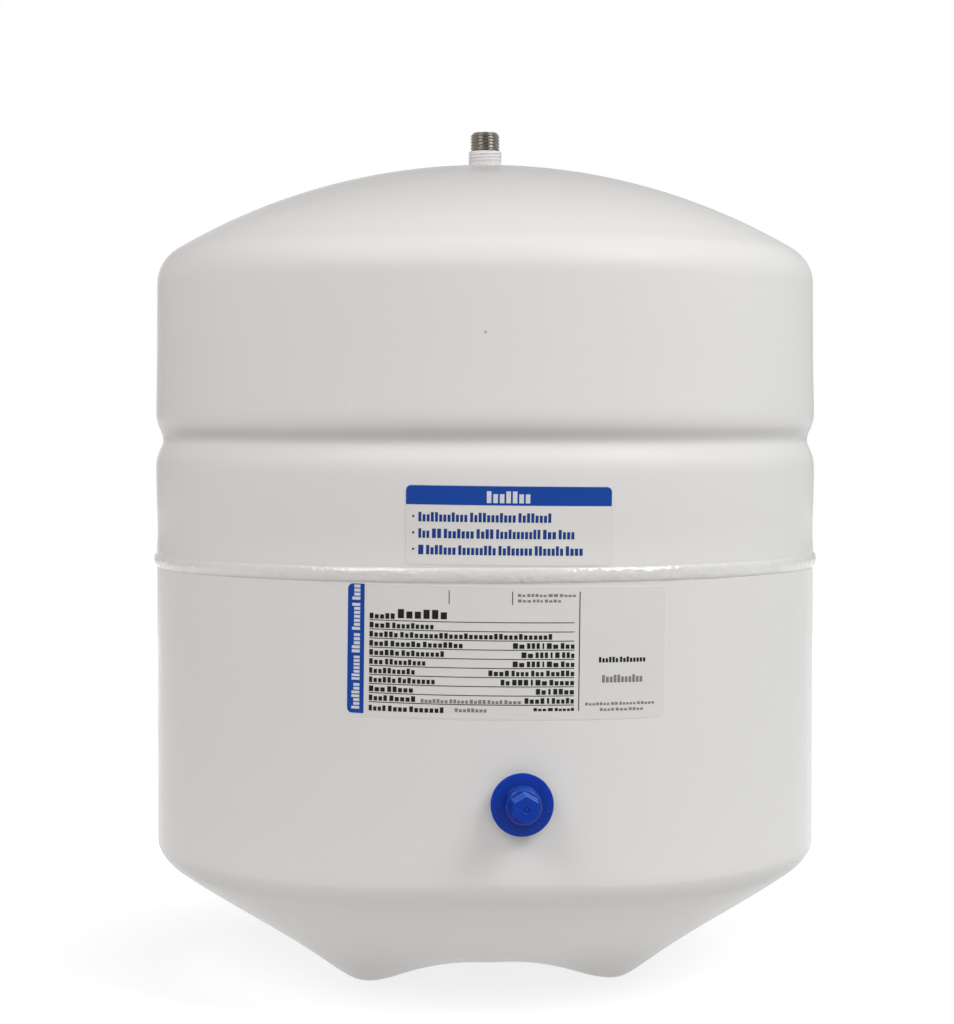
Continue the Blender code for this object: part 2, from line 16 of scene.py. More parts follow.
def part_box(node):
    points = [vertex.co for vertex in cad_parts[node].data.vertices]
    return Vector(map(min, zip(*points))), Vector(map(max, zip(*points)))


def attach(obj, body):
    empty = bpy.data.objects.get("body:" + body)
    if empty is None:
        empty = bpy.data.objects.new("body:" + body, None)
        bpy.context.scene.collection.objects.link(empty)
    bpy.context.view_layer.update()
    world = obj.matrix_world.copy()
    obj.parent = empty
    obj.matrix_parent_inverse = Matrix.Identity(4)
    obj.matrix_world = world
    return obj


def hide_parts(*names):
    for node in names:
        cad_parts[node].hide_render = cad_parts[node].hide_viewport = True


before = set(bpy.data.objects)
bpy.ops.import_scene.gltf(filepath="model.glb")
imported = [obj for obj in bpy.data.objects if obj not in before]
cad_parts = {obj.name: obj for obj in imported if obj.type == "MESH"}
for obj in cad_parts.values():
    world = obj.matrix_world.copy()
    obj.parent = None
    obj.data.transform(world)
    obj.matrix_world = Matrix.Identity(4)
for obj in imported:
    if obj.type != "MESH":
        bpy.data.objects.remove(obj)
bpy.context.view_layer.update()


def reach(node):
    """Largest distance of a CAD node from the vessel's axis."""
    return max(hypot(v.co.x, v.co.y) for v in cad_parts[node].data.vertices)


def middle(node, axis):
    """Middle of a CAD node's box along an axis."""
    low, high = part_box(node)
    return (low[axis] + high[axis]) / 2


# Vessel, from the frame and from the sizes that the CAD model is drawn to
gap = 0.0003
vessel_radius = reach("lower_shell")
weld_height = middle("girth_weld", 2)
shell_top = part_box("upper_shell")[1].z
lap_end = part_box("upper_shell")[0].z
lower_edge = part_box("lower_shell")[1].z
steel_wall = 0.0012
dome_radius = 0.2565
dome_knuckle = 0.0170
port_radius = 0.00745
base_clearance = 0.0046
base_radius = 0.2340
base_knuckle = 0.0165
base_draft = 0.0004
dome_centre = shell_top - sqrt(dome_radius ** 2 - port_radius ** 2)
base_centre = base_clearance + base_radius

# Roll groove, and the waves that forming left in the wall round it
groove_height = weld_height + 0.0505
groove_width = 0.0059
groove_depth = 0.00315
swell = 0.0006
swell_width = 0.0230
waist = 0.0003
waist_height = weld_height + 0.0130
waist_width = 0.0080
flare = 0.0002
flare_width = 0.0040

# Joggled lap and girth weld
joggle_start = 0.0027
joggle_length = 0.0016
bead_half_height = 0.00305
bead_crown = 0.00110
bead_root = 0.0006
bead_fullness = 0.88
bead_calm = 0.75
bead_wander = 0.00012
bead_wander_scale = 70
# Ripples of the bead: height, waves to a metre, place in x and y, climb with the turn round it
bead_waves = (
    (0.00018, 110, 0, 0, 0.9),
    (0.00024, 340, 7, 0, 2.1),
    (0.00010, 800, 0, 5, 3.2),
)

# Three feet pressed into the base
foot_count = 3
foot_circle = 0.0593
foot_turn = radians(-2.0)
foot_flank_out = 0.77
foot_flank_side = 0.56
foot_flank_in = 0.35
foot_sole = 0.0026
foot_round = 0.0026
foot_fillet = 0.0093

# Water connection
nipple_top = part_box("water_nipple")[1].z - 0.0006
bushing_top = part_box("nipple_bushing")[1].z
bushing_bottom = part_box("nipple_bushing")[0].z
nipple_bore = 0.00375
nipple_shank = 0.0050
nipple_root = 0.00582
nipple_crest = 0.0063
nipple_collar = 0.0060
nipple_collar_height = 0.0014
nipple_chamfer = 0.0015
nipple_lip = 0.0002
pipe_pitch = 0.00134
bushing_root = 0.00688
bushing_crest = 0.00715
bushing_neck = 0.00718
bushing_hub = 0.0024
bushing_lead = 0.0004
bushing_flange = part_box("nipple_bushing")[1].x
bushing_flange_height = 0.0032
ring_groove_half = 0.0013
hub_steps = 6
hub_curve = 1.5

# Air valve and its cap, their places measured outwards from the wall
valve_height = middle("valve_washer", 2)
stem_tip = 0.0140
stem_root = 0.00345
stem_crest = 0.00385
stem_base = 0.0040
stem_bore = 0.00265
stem_seat = 0.0020
stem_head = 0.0070
stem_head_high = -0.0043
stem_head_low = -0.0063
stem_seat_reach = 0.0045
stem_chamfer = 0.0006
drill_reach = 0.010
valve_pitch = 0.000794
nut_top = 0.0030
cap_rear = 0.0033
cap_front = 0.0046
cap_end = 0.01905
cap_bore = 0.00415
cap_bore_end = 0.0154
cap_axis_hole = 0.0002
cap_flange = 0.01205
cap_flange_dish = 0.0004
cap_hub = 0.0072
cap_hub_taper = 0.0003
cap_hub_top = 0.0107
cap_hub_chamfer = 0.0008
cap_edge = 0.00022
cap_hub_edge = cap_edge * 1.6
cap_grip_flat = 0.0047
cap_grip_draft = 0.0004
cap_grip_fillet = 0.0004
cap_grip_sharpness = 34
cap_dimple = 0.0013
cap_dimple_depth = 0.0006
cap_nub = 0.0004
# Roundings of the dimple and its nub: out from the edge, in from the cap's end
dimple_round = ((0.0002, 0), (0.00005, 0.00004), (0, 0.00015))
dimple_wall = 0.0001
nub_round = ((0, 0.00020), (-0.0001, 0.00008), (-0.0002, 0.00005))

# Labels, stuck on with a slight turn
label_azimuth = radians(-1.74)
label_turn = 0.0125
label_corner = 0.0020
film_low = 0.00004
film_high = 0.00012
film_rim = 0.00025
rim_low = 0.00001
rim_high = 0.00006
print_low = 0.00010
print_high = 0.00017
over_print = 0.00003
upper_label_height = middle("upper_label", 2) - 0.0001
upper_label_half_width = 0.0398
upper_label_half_height = 0.0150
data_label_height = middle("data_label", 2) - 0.0007
data_label_half_width = 0.06345
data_label_half_height = 0.0252

# Mesh fineness
shell_steps = 216
wall_spacing = 0.0011
base_spacing = 0.0013
inner_stride = 4
bead_steps = 1296
bead_points = 14
thread_steps = 96
thread_rows = 14
cap_steps = 192
film_spacing = 0.0015
corner_pieces = 5
round_pieces = 4
grip_rows = 8

smooth_angle = radians(32)
bead_smooth_angle = radians(70)


def knuckle_centre(wall_radius, knuckle, dome, centre, side):
    """Centre of the knuckle's arc that touches the wall and the dome; side is 1 up, -1 down."""
    radius = wall_radius - knuckle
    return radius, centre + side * sqrt((dome - knuckle) ** 2 - radius ** 2)


def arc(centre_r, centre_z, radius, start, end, spacing):
    """Points of an arc in the profile's plane, angles counted from the +r direction."""
    pieces = max(2, ceil(radius * abs(end - start) / spacing))
    turns = [start + (end - start) * i / pieces for i in range(pieces + 1)]
    return [(centre_r + radius * cos(a), centre_z + radius * sin(a)) for a in turns]


def bump_curve(height, centre, width):
    return exp(-(((height - centre) / width) ** 2))


def wall_radius(height):
    """Outer radius of the vessel's wall at a height, between its two knuckles."""
    if height < lower_edge:
        share = min(max((lower_edge - height) / (lower_edge - base_low_knuckle), 0), 1)
        return vessel_radius - base_draft * share
    wave = swell * bump_curve(height, groove_height, swell_width)
    wave -= groove_depth * bump_curve(height, groove_height, groove_width)
    wave -= waist * bump_curve(height, waist_height, waist_width)
    wave += flare * bump_curve(height, weld_height + joggle_start, flare_width)
    return vessel_radius + wave


upper_knuckle_r, upper_knuckle_z = knuckle_centre(
    vessel_radius, dome_knuckle, dome_radius, dome_centre, 1
)
lower_knuckle_r, base_low_knuckle = knuckle_centre(
    vessel_radius - base_draft, base_knuckle, base_radius, base_centre, -1
)


def upper_profile():
    """Outer outline of the upper shell, from the port's edge down to the end of the lap."""
    touch = atan2(upper_knuckle_z - dome_centre, upper_knuckle_r)
    port = pi / 2 - asin(port_radius / dome_radius)
    dome = arc(0, dome_centre, dome_radius, port, touch, 2 * wall_spacing)
    knuckle = arc(upper_knuckle_r, upper_knuckle_z, dome_knuckle, touch, 0, wall_spacing)
    joggle = weld_height + joggle_start
    count = ceil((upper_knuckle_z - joggle) / wall_spacing)
    heights = [upper_knuckle_z + (joggle - upper_knuckle_z) * i / count for i in range(count + 1)]
    wall = [(wall_radius(z), z) for z in heights]
    lap = vessel_radius - steel_wall - gap
    return dome + knuckle[1:] + wall[1:] + [(lap, joggle - joggle_length), (lap, lap_end)]


def lower_profile():
    """Outer outline of the lower shell before the feet are pressed, from its edge to the axis."""
    count = ceil((lower_edge - base_low_knuckle) / (2 * wall_spacing))
    heights = [lower_edge + (base_low_knuckle - lower_edge) * i / count for i in range(count)]
    wall = [(wall_radius(z - gap / 10), z) for z in heights]
    touch = atan2(base_low_knuckle - base_centre, lower_knuckle_r)
    knuckle = arc(lower_knuckle_r, base_low_knuckle, base_knuckle, 0, touch, wall_spacing)
    reach_out = knuckle[-1][0]
    count = ceil(reach_out / base_spacing)
    radii = [reach_out * (1 - i / count) for i in range(1, count)]
    dome = [(r, base_centre - sqrt(base_radius ** 2 - r ** 2)) for r in radii]
    return wall + knuckle + dome


def soft_lower(a, b, reach_of_fillet):
    """The lower of two heights, with a fillet where they meet."""
    near = np.maximum(reach_of_fillet - np.abs(a - b), 0) / reach_of_fillet
    return np.minimum(a, b) - near ** 2 * reach_of_fillet / 4


def press_feet(points):
    """Presses the three feet into the base's points, as the CAD model does."""
    x, y, z = points[..., 0], points[..., 1], points[..., 2]
    radius = np.hypot(x, y)
    azimuth = np.arctan2(x, -y)
    height = z.copy()
    for i in range(foot_count):
        turn = azimuth - (foot_turn - pi / foot_count + 2 * pi * i / foot_count)
        out = radius * np.cos(turn) - foot_circle
        across = radius * np.sin(turn)
        flank = np.where(out > 0, foot_flank_out, foot_flank_in)
        far = np.hypot(flank * out, foot_flank_side * across)
        beyond = np.maximum(far - foot_sole, 0)
        foot = np.sqrt(beyond ** 2 + foot_round ** 2) - foot_round
        height = soft_lower(height, foot, foot_fillet)
    height = np.maximum(height, 0)
    points[..., 2] = np.where(z < base_low_knuckle, height, z)
    return points


def rings(profile, steps):
    """Points of rings about Z. A radius or a height may be one number or one for each step."""
    turns = 2 * pi * (np.arange(steps) + 0.5) / steps
    made = np.empty((len(profile), steps, 3))
    for row, (radius, height) in enumerate(profile):
        made[row, :, 0] = radius * np.cos(turns)
        made[row, :, 1] = radius * np.sin(turns)
        made[row, :, 2] = height
    return made


def thickened(outer, wall):
    """Closes an outer grid of rings with an inner one, a wall's thickness behind it."""
    along = np.gradient(outer, axis=0)
    around = np.roll(outer, -1, axis=1) - np.roll(outer, 1, axis=1)
    normal = np.cross(along, around)
    normal /= np.linalg.norm(normal, axis=2, keepdims=True)
    inner = outer - normal * wall
    last = len(outer) - 1
    kept = [row for row in range(len(outer)) if row % inner_stride == 0 or row == last]
    return np.concatenate((outer, inner[kept][::-1]))


def add_piece(name, mesh, look, body, stands_for=None):
    mesh.materials.append(look)
    piece = bpy.data.objects.new(name, mesh)
    bpy.context.scene.collection.objects.link(piece)
    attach(piece, body)
    if stands_for:
        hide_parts(stands_for)
    return piece


def grid_mesh(name, grid, wrap_rows=False, cap_ends=False, angle=smooth_angle):
    """A mesh of quads over rows of closed rings."""
    rows, steps, _ = grid.shape
    index = np.arange(rows * steps).reshape(rows, steps)
    upper = index if wrap_rows else index[:-1]
    lower = np.roll(index, -1, axis=0) if wrap_rows else index[1:]
    quads = np.stack(
        (upper, lower, np.roll(lower, -1, axis=1), np.roll(upper, -1, axis=1)), axis=-1
    ).reshape(-1, 4).tolist()
    if cap_ends:
        quads.append(index[0].tolist())
        quads.append(index[-1][::-1].tolist())
    mesh = bpy.data.meshes.new(name)
    mesh.from_pydata(grid.reshape(-1, 3).tolist(), [], quads)
    tidy_normals(mesh, angle)
    return mesh


def tidy_normals(mesh, angle=smooth_angle):
    work = bmesh.new()
    work.from_mesh(mesh)
    bmesh.ops.recalc_face_normals(work, faces=work.faces)
    work.to_mesh(mesh)
    work.free()
    mesh.shade_smooth()
    mesh.set_sharp_from_angle(angle=angle)


def on_valve(mesh):
    """Moves a mesh that is turned about Z onto the valve's axis, its base at the wall."""
    place = Matrix.Translation((0, -vessel_radius, valve_height))
    mesh.transform(place @ Matrix.Rotation(pi / 2, 4, "X"))
    return mesh


class Nodes:
    """A short way to write the node tree of a material or a world."""

    def __init__(self, owner, own_tones=None):
        self.look = owner
        self.own_tones = own_tones
        owner.use_nodes = True
        self.tree = owner.node_tree

    def add(self, kind, inputs=None, **settings):
        node = self.tree.nodes.new(kind)
        for key, value in settings.items():
            setattr(node, key, value)
        for key, value in (inputs or {}).items():
            self.feed(node.inputs[key], value)
        return node

    def feed(self, socket, value):
        """Links a socket, or sets its value; a colour is red, green and blue."""
        if isinstance(value, bpy.types.NodeSocket):
            self.tree.links.new(value, socket)
        elif socket.type == "RGBA":
            socket.default_value = (*value, 1.0)
        else:
            socket.default_value = value

    def set(self, **values):
        """Feeds the surface shader's own sockets."""
        surface = self.tree.nodes["Principled BSDF"]
        for key, value in values.items():
            self.feed(surface.inputs[key.replace("_", " ")], value)

    def place(self):
        return self.add("ShaderNodeTexCoord").outputs["Object"]

    def along(self, axis, place=None):
        """One coordinate of a place, of the object's own unless another is given."""
        return self.add("ShaderNodeSeparateXYZ", {0: place or self.place()}).outputs[axis]

    def noise(self, scale, detail=3.0, roughness=0.5, place=None):
        inputs = {
            "Vector": place or self.place(),
            "Scale": scale,
            "Detail": detail,
            "Roughness": roughness,
        }
        return self.add("ShaderNodeTexNoise", inputs).outputs["Fac"]

    def span(self, value, low, high, from_low=0.0, from_high=1.0):
        """A value mapped from one range to another."""
        inputs = {
            "Value": value,
            "From Min": from_low,
            "From Max": from_high,
            "To Min": low,
            "To Max": high,
        }
        return self.add("ShaderNodeMapRange", inputs).outputs["Result"]

    def uneven(self, low, high, scale, detail=3.0):
        """A roughness that wanders from one value to another."""
        return self.span(self.noise(scale, detail), low, high, 0.3, 0.7)

    def math(self, operation, a, b):
        return self.add("ShaderNodeMath", {0: a, 1: b}, operation=operation).outputs[0]

    def measure(self, operation, *vectors):
        """The number that a vector operation gives."""
        inputs = dict(enumerate(vectors))
        return self.add("ShaderNodeVectorMath", inputs, operation=operation).outputs["Value"]

    def mix(self, share, first, second):
        node = self.add("ShaderNodeMix", data_type="RGBA")
        self.feed(node.inputs[0], share)
        self.feed(node.inputs[6], first)
        self.feed(node.inputs[7], second)
        return node.outputs[2]

    def tint(self, scale, detail=3.0):
        """The look's own two tones, mixed by noise."""
        return self.mix(self.noise(scale, detail), *self.own_tones)

    def bump(self, height, distance, strength=1.0, under=None):
        values = {"Height": height, "Distance": distance, "Strength": strength}
        if under:
            values["Normal"] = under
        return self.add("ShaderNodeBump", values).outputs["Normal"]

    def spot(self, place, size, softness=0.5):
        """1 inside a small round spot at a place on the object, 0 outside."""
        away = self.measure("DISTANCE", self.place(), place)
        return self.span(away, 1.0, 0.0, size * softness, size)

    def seen(self):
        """1 for rays from the camera, mirrored or through glass; 1 for the first alone."""
        path = self.add("ShaderNodeLightPath").outputs
        seen = self.math("MAXIMUM", path["Is Camera Ray"], path["Is Glossy Ray"])
        return self.math("MAXIMUM", seen, path["Is Transmission Ray"]), path["Is Camera Ray"]


def new_look(name):
    return Nodes(bpy.data.materials.new(name), tones.get(name))


def on_wall(across, height, lift=0.0):
    """Point on the wall in front, across it from the labels' centre line."""
    azimuth = label_azimuth + across / vessel_radius
    radius = wall_radius(height) + lift
    return radius * sin(azimuth), -radius * cos(azimuth), height


# The darker and the lighter tone of each look
tones = {
    "white_paint": ((0.735, 0.722, 0.712), (0.755, 0.744, 0.735)),
    "painted_weld": ((0.705, 0.691, 0.682), (0.765, 0.751, 0.742)),
    "clear_film": ((0.722, 0.706, 0.686), (0.745, 0.729, 0.708)),
    "label_film": ((0.708, 0.694, 0.674), (0.730, 0.716, 0.696)),
    # The films' rims: painted shade round the upper film, a painted highlight round the data film
    "film_edge": ((0.640, 0.628, 0.618), (0.680, 0.668, 0.656)),
    "film_edge_light": ((0.80, 0.79, 0.78), (0.86, 0.85, 0.84)),
    "blue_ink": ((0.0085, 0.056, 0.320), (0.0110, 0.068, 0.370)),
    "blue_print": ((0.014, 0.046, 0.215), (0.020, 0.058, 0.255)),
    "black_print": ((0.012, 0.012, 0.013), (0.024, 0.023, 0.024)),
    "grey_print": ((0.19, 0.185, 0.18), (0.26, 0.25, 0.245)),
    "reversed_print": ((0.62, 0.64, 0.68), (0.68, 0.69, 0.72)),
    "stainless_steel": ((0.340, 0.312, 0.268), (0.425, 0.395, 0.342)),
    "white_plastic": ((0.69, 0.665, 0.680), (0.74, 0.715, 0.730)),
    "blue_plastic": ((0.0016, 0.034, 0.350), (0.0026, 0.042, 0.400)),
    "black_rubber": ((0.012, 0.012, 0.012), (0.030, 0.029, 0.028)),
    "plated_steel": ((0.44, 0.45, 0.47), (0.60, 0.61, 0.62)),
    "brass": ((0.55, 0.38, 0.14), (0.72, 0.53, 0.23)),
    "liner_plastic": ((0.78, 0.79, 0.77), (0.84, 0.85, 0.83)),
}

# Marks on the paint: painted shade in the groove and on the dome's crown, two specks, a scuff,
# grime by the weld
painted_groove_shade = 0.30
painted_groove_shade_tone = (0.30, 0.285, 0.28)
painted_groove_shade_edge = 0.0014
painted_groove_shade_top = (0.0030, 0.0066)
# Painted shade on the dome: how strong, its tone, how far from the crown it reaches
painted_crown_shade = 0.42
painted_crown_shade_tone = (0.45, 0.44, 0.432)
painted_crown_shade_reach = 0.125
speck_place = on_wall(-0.0093, 0.26695)
speck_size = 0.0008
speck_tone = (0.40, 0.385, 0.37)
dome_speck_place = (-0.0155, -0.0655, 0.33380)
dome_speck_size = 0.0007
dome_speck_tone = (0.42, 0.41, 0.40)
scuff = 0.25
scuff_place = on_wall(-0.0631, 0.2381)
scuff_size = 0.0050
scuff_tone = (0.92, 0.91, 0.90)
grime_tone = (0.42, 0.41, 0.40)
grime_edge = (-0.0020, 0.0012)

# The cap's blue: painted shade round the root of its hub, painted light on the upper side of its
# grip
cap_root_shade = 0.45
cap_root_shade_place = (0, -vessel_radius - cap_front, valve_height)
cap_root_shade_reach = 0.0118
cap_root_shade_tone = (0.0010, 0.018, 0.150)
cap_painted_light_side = (0.30, -0.10, 0.95)
cap_painted_light_tone = (0.075, 0.215, 0.680)
cap_grip_place = -vessel_radius - cap_hub_top
cap_grip_blur = 0.0003


def paint_look():
    """Glossy white powder coat with a faint orange peel, its marks, and painted shade in the
    groove and on the crown.
    """
    made = new_look("white_paint")
    tint = made.tint(9.0, 2.0)
    # Painted shade: a darker band from the groove's root up its upper slope, which faces down
    height = made.along("Z")
    low, high = groove_height - painted_groove_shade_edge, groove_height + painted_groove_shade_edge
    below = made.span(height, 0.0, 1.0, low, high)
    low, high = [groove_height + rise for rise in painted_groove_shade_top]
    above = made.span(height, 1.0, 0.0, low, high)
    groove_shade_share = made.math("MULTIPLY", made.math("MULTIPLY", below, above), painted_groove_shade)
    tint = made.mix(groove_shade_share, tint, painted_groove_shade_tone)
    # Painted shade: the dome turns darker towards its crown, round the nipple
    crown = made.spot((0, 0, shell_top), painted_crown_shade_reach, 0.40)
    tint = made.mix(made.math("MULTIPLY", crown, painted_crown_shade), tint, painted_crown_shade_tone)
    tint = made.mix(made.spot(speck_place, speck_size, 0.3), tint, speck_tone)
    tint = made.mix(made.spot(dome_speck_place, dome_speck_size, 0.3), tint, dome_speck_tone)
    grain = made.span(made.noise(900.0, 4.0, 0.7), 0.0, 1.0, 0.45, 0.6)
    rubbed = made.math("MULTIPLY", made.spot(scuff_place, scuff_size, 0.2), grain)
    tint = made.mix(made.math("MULTIPLY", rubbed, scuff), tint, scuff_tone)
    waves = made.bump(made.noise(16.0, 2.0), 0.00030, 0.35)
    made.set(
        Base_Color=tint,
        Roughness=made.uneven(0.18, 0.25, 60.0),
        IOR=1.5,
        Specular_IOR_Level=0.05,
        Normal=made.bump(made.noise(420.0, 3.0, 0.55), 0.000020, 0.8, under=waves),
    )
    return made.look


def bead_look():
    """The same paint over the weld: wet-looking, with the ripples of the bead showing through."""
    made = new_look("painted_weld")
    grime = made.span(made.noise(700.0, 3.0, 0.65), 0.0, 0.5, 0.60, 0.74)
    low, high = [weld_height + rise for rise in grime_edge]
    lower = made.span(made.along("Z"), 1.0, 0.0, low, high)
    ripples = made.bump(made.noise(430.0, 2.0), 0.00042, 0.7)
    made.set(
        Base_Color=made.mix(made.math("MULTIPLY", grime, lower), made.tint(160.0), grime_tone),
        Roughness=made.uneven(0.06, 0.16, 240.0),
        IOR=1.5,
        Specular_IOR_Level=0.85,
        Normal=made.bump(made.noise(1300.0, 2.0), 0.00005, 0.7, under=ripples),
    )
    return made.look


def film_look(name, roughness):
    """A silvery label film, with a slight unevenness of the glue behind it."""
    made = new_look(name)
    made.set(
        Base_Color=made.tint(55.0),
        Roughness=made.uneven(roughness - 0.03, roughness + 0.05, 300.0),
        IOR=1.48,
        Specular_IOR_Level=0.30,
        Normal=made.bump(made.noise(120.0), 0.00003, 0.5),
    )
    return made.look


def ink_look(name):
    """Printing ink, slightly uneven in tone and gloss."""
    made = new_look(name)
    made.set(
        Base_Color=made.tint(1400.0, 2.0),
        Roughness=made.span(made.noise(500.0, 2.0), 0.32, 0.42),
        IOR=1.48,
        Specular_IOR_Level=0.16,
    )
    return made.look


def steel_look():
    """Turned stainless steel, with the fine level lines of the thread's cutting."""
    made = new_look("stainless_steel")
    stretched = {"Vector": made.place(), "Scale": (6.0, 6.0, 2600.0)}
    place = made.add("ShaderNodeMapping", stretched).outputs[0]
    lines = made.noise(1.0, 3.0, 0.6, place=place)
    turned = made.add("ShaderNodeTangent", direction_type="RADIAL", axis="Z")
    made.set(
        Base_Color=made.tint(300.0),
        Metallic=1.0,
        Roughness=made.span(lines, 0.29, 0.42, 0.3, 0.7),
        Anisotropic=0.85,
        Anisotropic_Rotation=0.25,
        Tangent=turned.outputs["Tangent"],
        Normal=made.bump(lines, 0.000006, 0.4),
    )
    return made.look


def white_plastic_look():
    """Milky polypropylene of the bushing, which lets a little light through."""
    made = new_look("white_plastic")
    made.set(
        Base_Color=made.tint(260.0),
        Roughness=made.uneven(0.30, 0.42, 600.0),
        IOR=1.49,
        Specular_IOR_Level=0.3,
        Subsurface_Weight=0.7,
        Subsurface_Radius=(0.004, 0.004, 0.0045),
        Subsurface_Scale=0.6,
        Normal=made.bump(made.noise(900.0), 0.000006, 0.5),
    )
    return made.look


def blue_plastic_look():
    """Moulded blue polyethylene of the cap, with painted shade round its hub's root and painted
    light where its grip faces up.
    """
    made = new_look("blue_plastic")
    tint = made.tint(90.0)
    # Painted shade: darker blue round the hub's root, in the corner against the flange
    root = made.spot(cap_root_shade_place, cap_root_shade_reach, 0.60)
    tint = made.mix(made.math("MULTIPLY", root, cap_root_shade), tint, cap_root_shade_tone)
    # Painted light: paler blue on the faces that turn up towards the lamps, full on the grip,
    # about a third as much on the hub and flange
    facing = made.add("ShaderNodeTexCoord").outputs["Normal"]
    upward = made.measure("DOT_PRODUCT", facing, cap_painted_light_side)
    painted_light = made.span(upward, 0.0, 0.80, 0.25, 1.0)
    near, far = cap_grip_place + cap_grip_blur, cap_grip_place - cap_grip_blur
    grip = made.span(made.along("Y"), 1.0, 0.30, far, near)
    tint = made.mix(made.math("MULTIPLY", painted_light, grip), tint, cap_painted_light_tone)
    made.set(
        Base_Color=tint,
        Roughness=made.uneven(0.20, 0.30, 300.0),
        IOR=1.5,
        Specular_IOR_Level=0.26,
        Normal=made.bump(made.noise(240.0), 0.000010, 0.5),
    )
    return made.look


def plain_look(name, scale, rough, metallic=0.0, grain=0.00001):
    """A finish for the pieces that are mostly hidden: two tones, grain and uneven gloss."""
    made = new_look(name)
    made.set(
        Base_Color=made.tint(scale, 4.0),
        Metallic=metallic,
        Roughness=made.uneven(rough - 0.06, rough + 0.08, scale * 2),
        Normal=made.bump(made.noise(scale * 3), grain, 0.6),
    )
    return made.look


def dress_frame():
    """Gives the CAD nodes that stay their finishes, and returns the brass for the stem."""
    rubber = plain_look("black_rubber", 400.0, 0.62, grain=0.00004)
    plated = plain_look("plated_steel", 300.0, 0.32, metallic=1.0)
    brass = plain_look("brass", 350.0, 0.28, metallic=1.0)
    liner = plain_look("liner_plastic", 120.0, 0.42)
    looks = {
        "liner": liner,
        "diaphragm": rubber,
        "clamp_ring": plated,
        "port_o_ring": rubber,
        "valve_gasket": rubber,
        "valve_washer": plated,
        "valve_nut": brass,
        "core_body": brass,
        "core_pin": brass,
        "core_seal": rubber,
        "core_spring": plated,
        "cap_seal": rubber,
    }
    for node, look in looks.items():
        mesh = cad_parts[node].data
        mesh.materials.clear()
        mesh.materials.append(look)
    return brass


def build_upper_shell(look):
    outer = rings(upper_profile(), shell_steps)
    mesh = grid_mesh("drawn_upper_shell", thickened(outer, steel_wall), wrap_rows=True)
    add_piece("drawn_upper_shell", mesh, look, "tank", "upper_shell")


def build_lower_shell(look):
    """The lower shell with its pressed feet and the hole for the air valve."""
    outer = press_feet(rings(lower_profile(), shell_steps))
    mesh = grid_mesh("drawn_lower_shell", thickened(outer, steel_wall), cap_ends=True)
    shell = add_piece("drawn_lower_shell", mesh, look, "tank", "lower_shell")
    drill = rings([(stem_base + gap, end) for end in (-drill_reach, drill_reach)], thread_steps)
    cutter = bpy.data.objects.new("drill", on_valve(grid_mesh("drill", drill, cap_ends=True)))
    bpy.context.scene.collection.objects.link(cutter)
    hole = shell.modifiers.new("hole", "BOOLEAN")
    hole.solver = "EXACT"
    hole.object = cutter
    bpy.context.view_layer.update()
    graph = bpy.context.evaluated_depsgraph_get()
    bored = bpy.data.meshes.new_from_object(shell.evaluated_get(graph))
    shell.modifiers.clear()
    bpy.data.objects.remove(cutter, do_unlink=True)
    shell.data = bored
    shell.data.set_sharp_from_angle(angle=smooth_angle)


def build_weld(look):
    """The bead: a low crown whose lower half keeps the uneven ripples of the weld pool."""
    turns = 2 * pi * (np.arange(bead_steps) + 0.5) / bead_steps
    profile = []
    for i in range(bead_points + 1):
        lift = pi / 2 - pi * i / bead_points
        rough = bead_calm + (1 - bead_calm) * max(-sin(lift), 0) ** 0.5
        swelling = np.array([bead_ripple(turn, lift) for turn in turns])
        radius = vessel_radius - bead_root
        radius = radius + (bead_root + bead_crown) * max(cos(lift), 0) ** bead_fullness
        radius = radius + swelling * rough * cos(lift)
        drift = np.array([edge_drift(turn, lift) for turn in turns])
        profile.append((radius, weld_height + bead_half_height * sin(lift) + drift))
    made = rings(profile, bead_steps)
    mesh = grid_mesh("weld_bead", made, wrap_rows=True, angle=bead_smooth_angle)
    add_piece("weld_bead", mesh, look, "tank", "girth_weld")


def bead_ripple(turn, lift):
    """Height of the ripples at a place on the bead, from coarse, fine and crisp noise."""
    around = Vector((cos(turn), sin(turn), 0)) * vessel_radius
    return sum(
        height * noise.noise(around * scale + Vector((x, y, lift * climb)))
        for height, scale, x, y, climb in bead_waves
    )


def edge_drift(turn, lift):
    """How far the bead's edges wander up and down."""
    around = Vector((cos(turn), sin(turn), 0)) * vessel_radius
    wander = noise.noise(around * bead_wander_scale + Vector((0, 0, 3 if lift > 0 else 9)))
    return bead_wander * wander * abs(sin(lift))


def thread_profile(root, crest, pitch, high, low, steps, lead_in=0.0, lead_out=0.0):
    """Rings of a screw thread, from its high end to its low end, with chamfered ends."""
    turns = (np.arange(steps) + 0.5) / steps
    count = ceil((high - low) / pitch * thread_rows)
    profile = []
    for i in range(count + 1):
        height = high + (low - high) * i / count
        phase = (height / pitch - turns) % 1.0
        ridge = 0.5 - 0.5 * np.cos(2 * pi * phase)
        radius = root + (crest - root) * ridge
        if lead_in:
            radius = np.minimum(radius, crest - lead_in + (high - height))
        if lead_out:
            radius = np.minimum(radius, crest - lead_out + (height - low))
        profile.append((radius, height))
    return profile


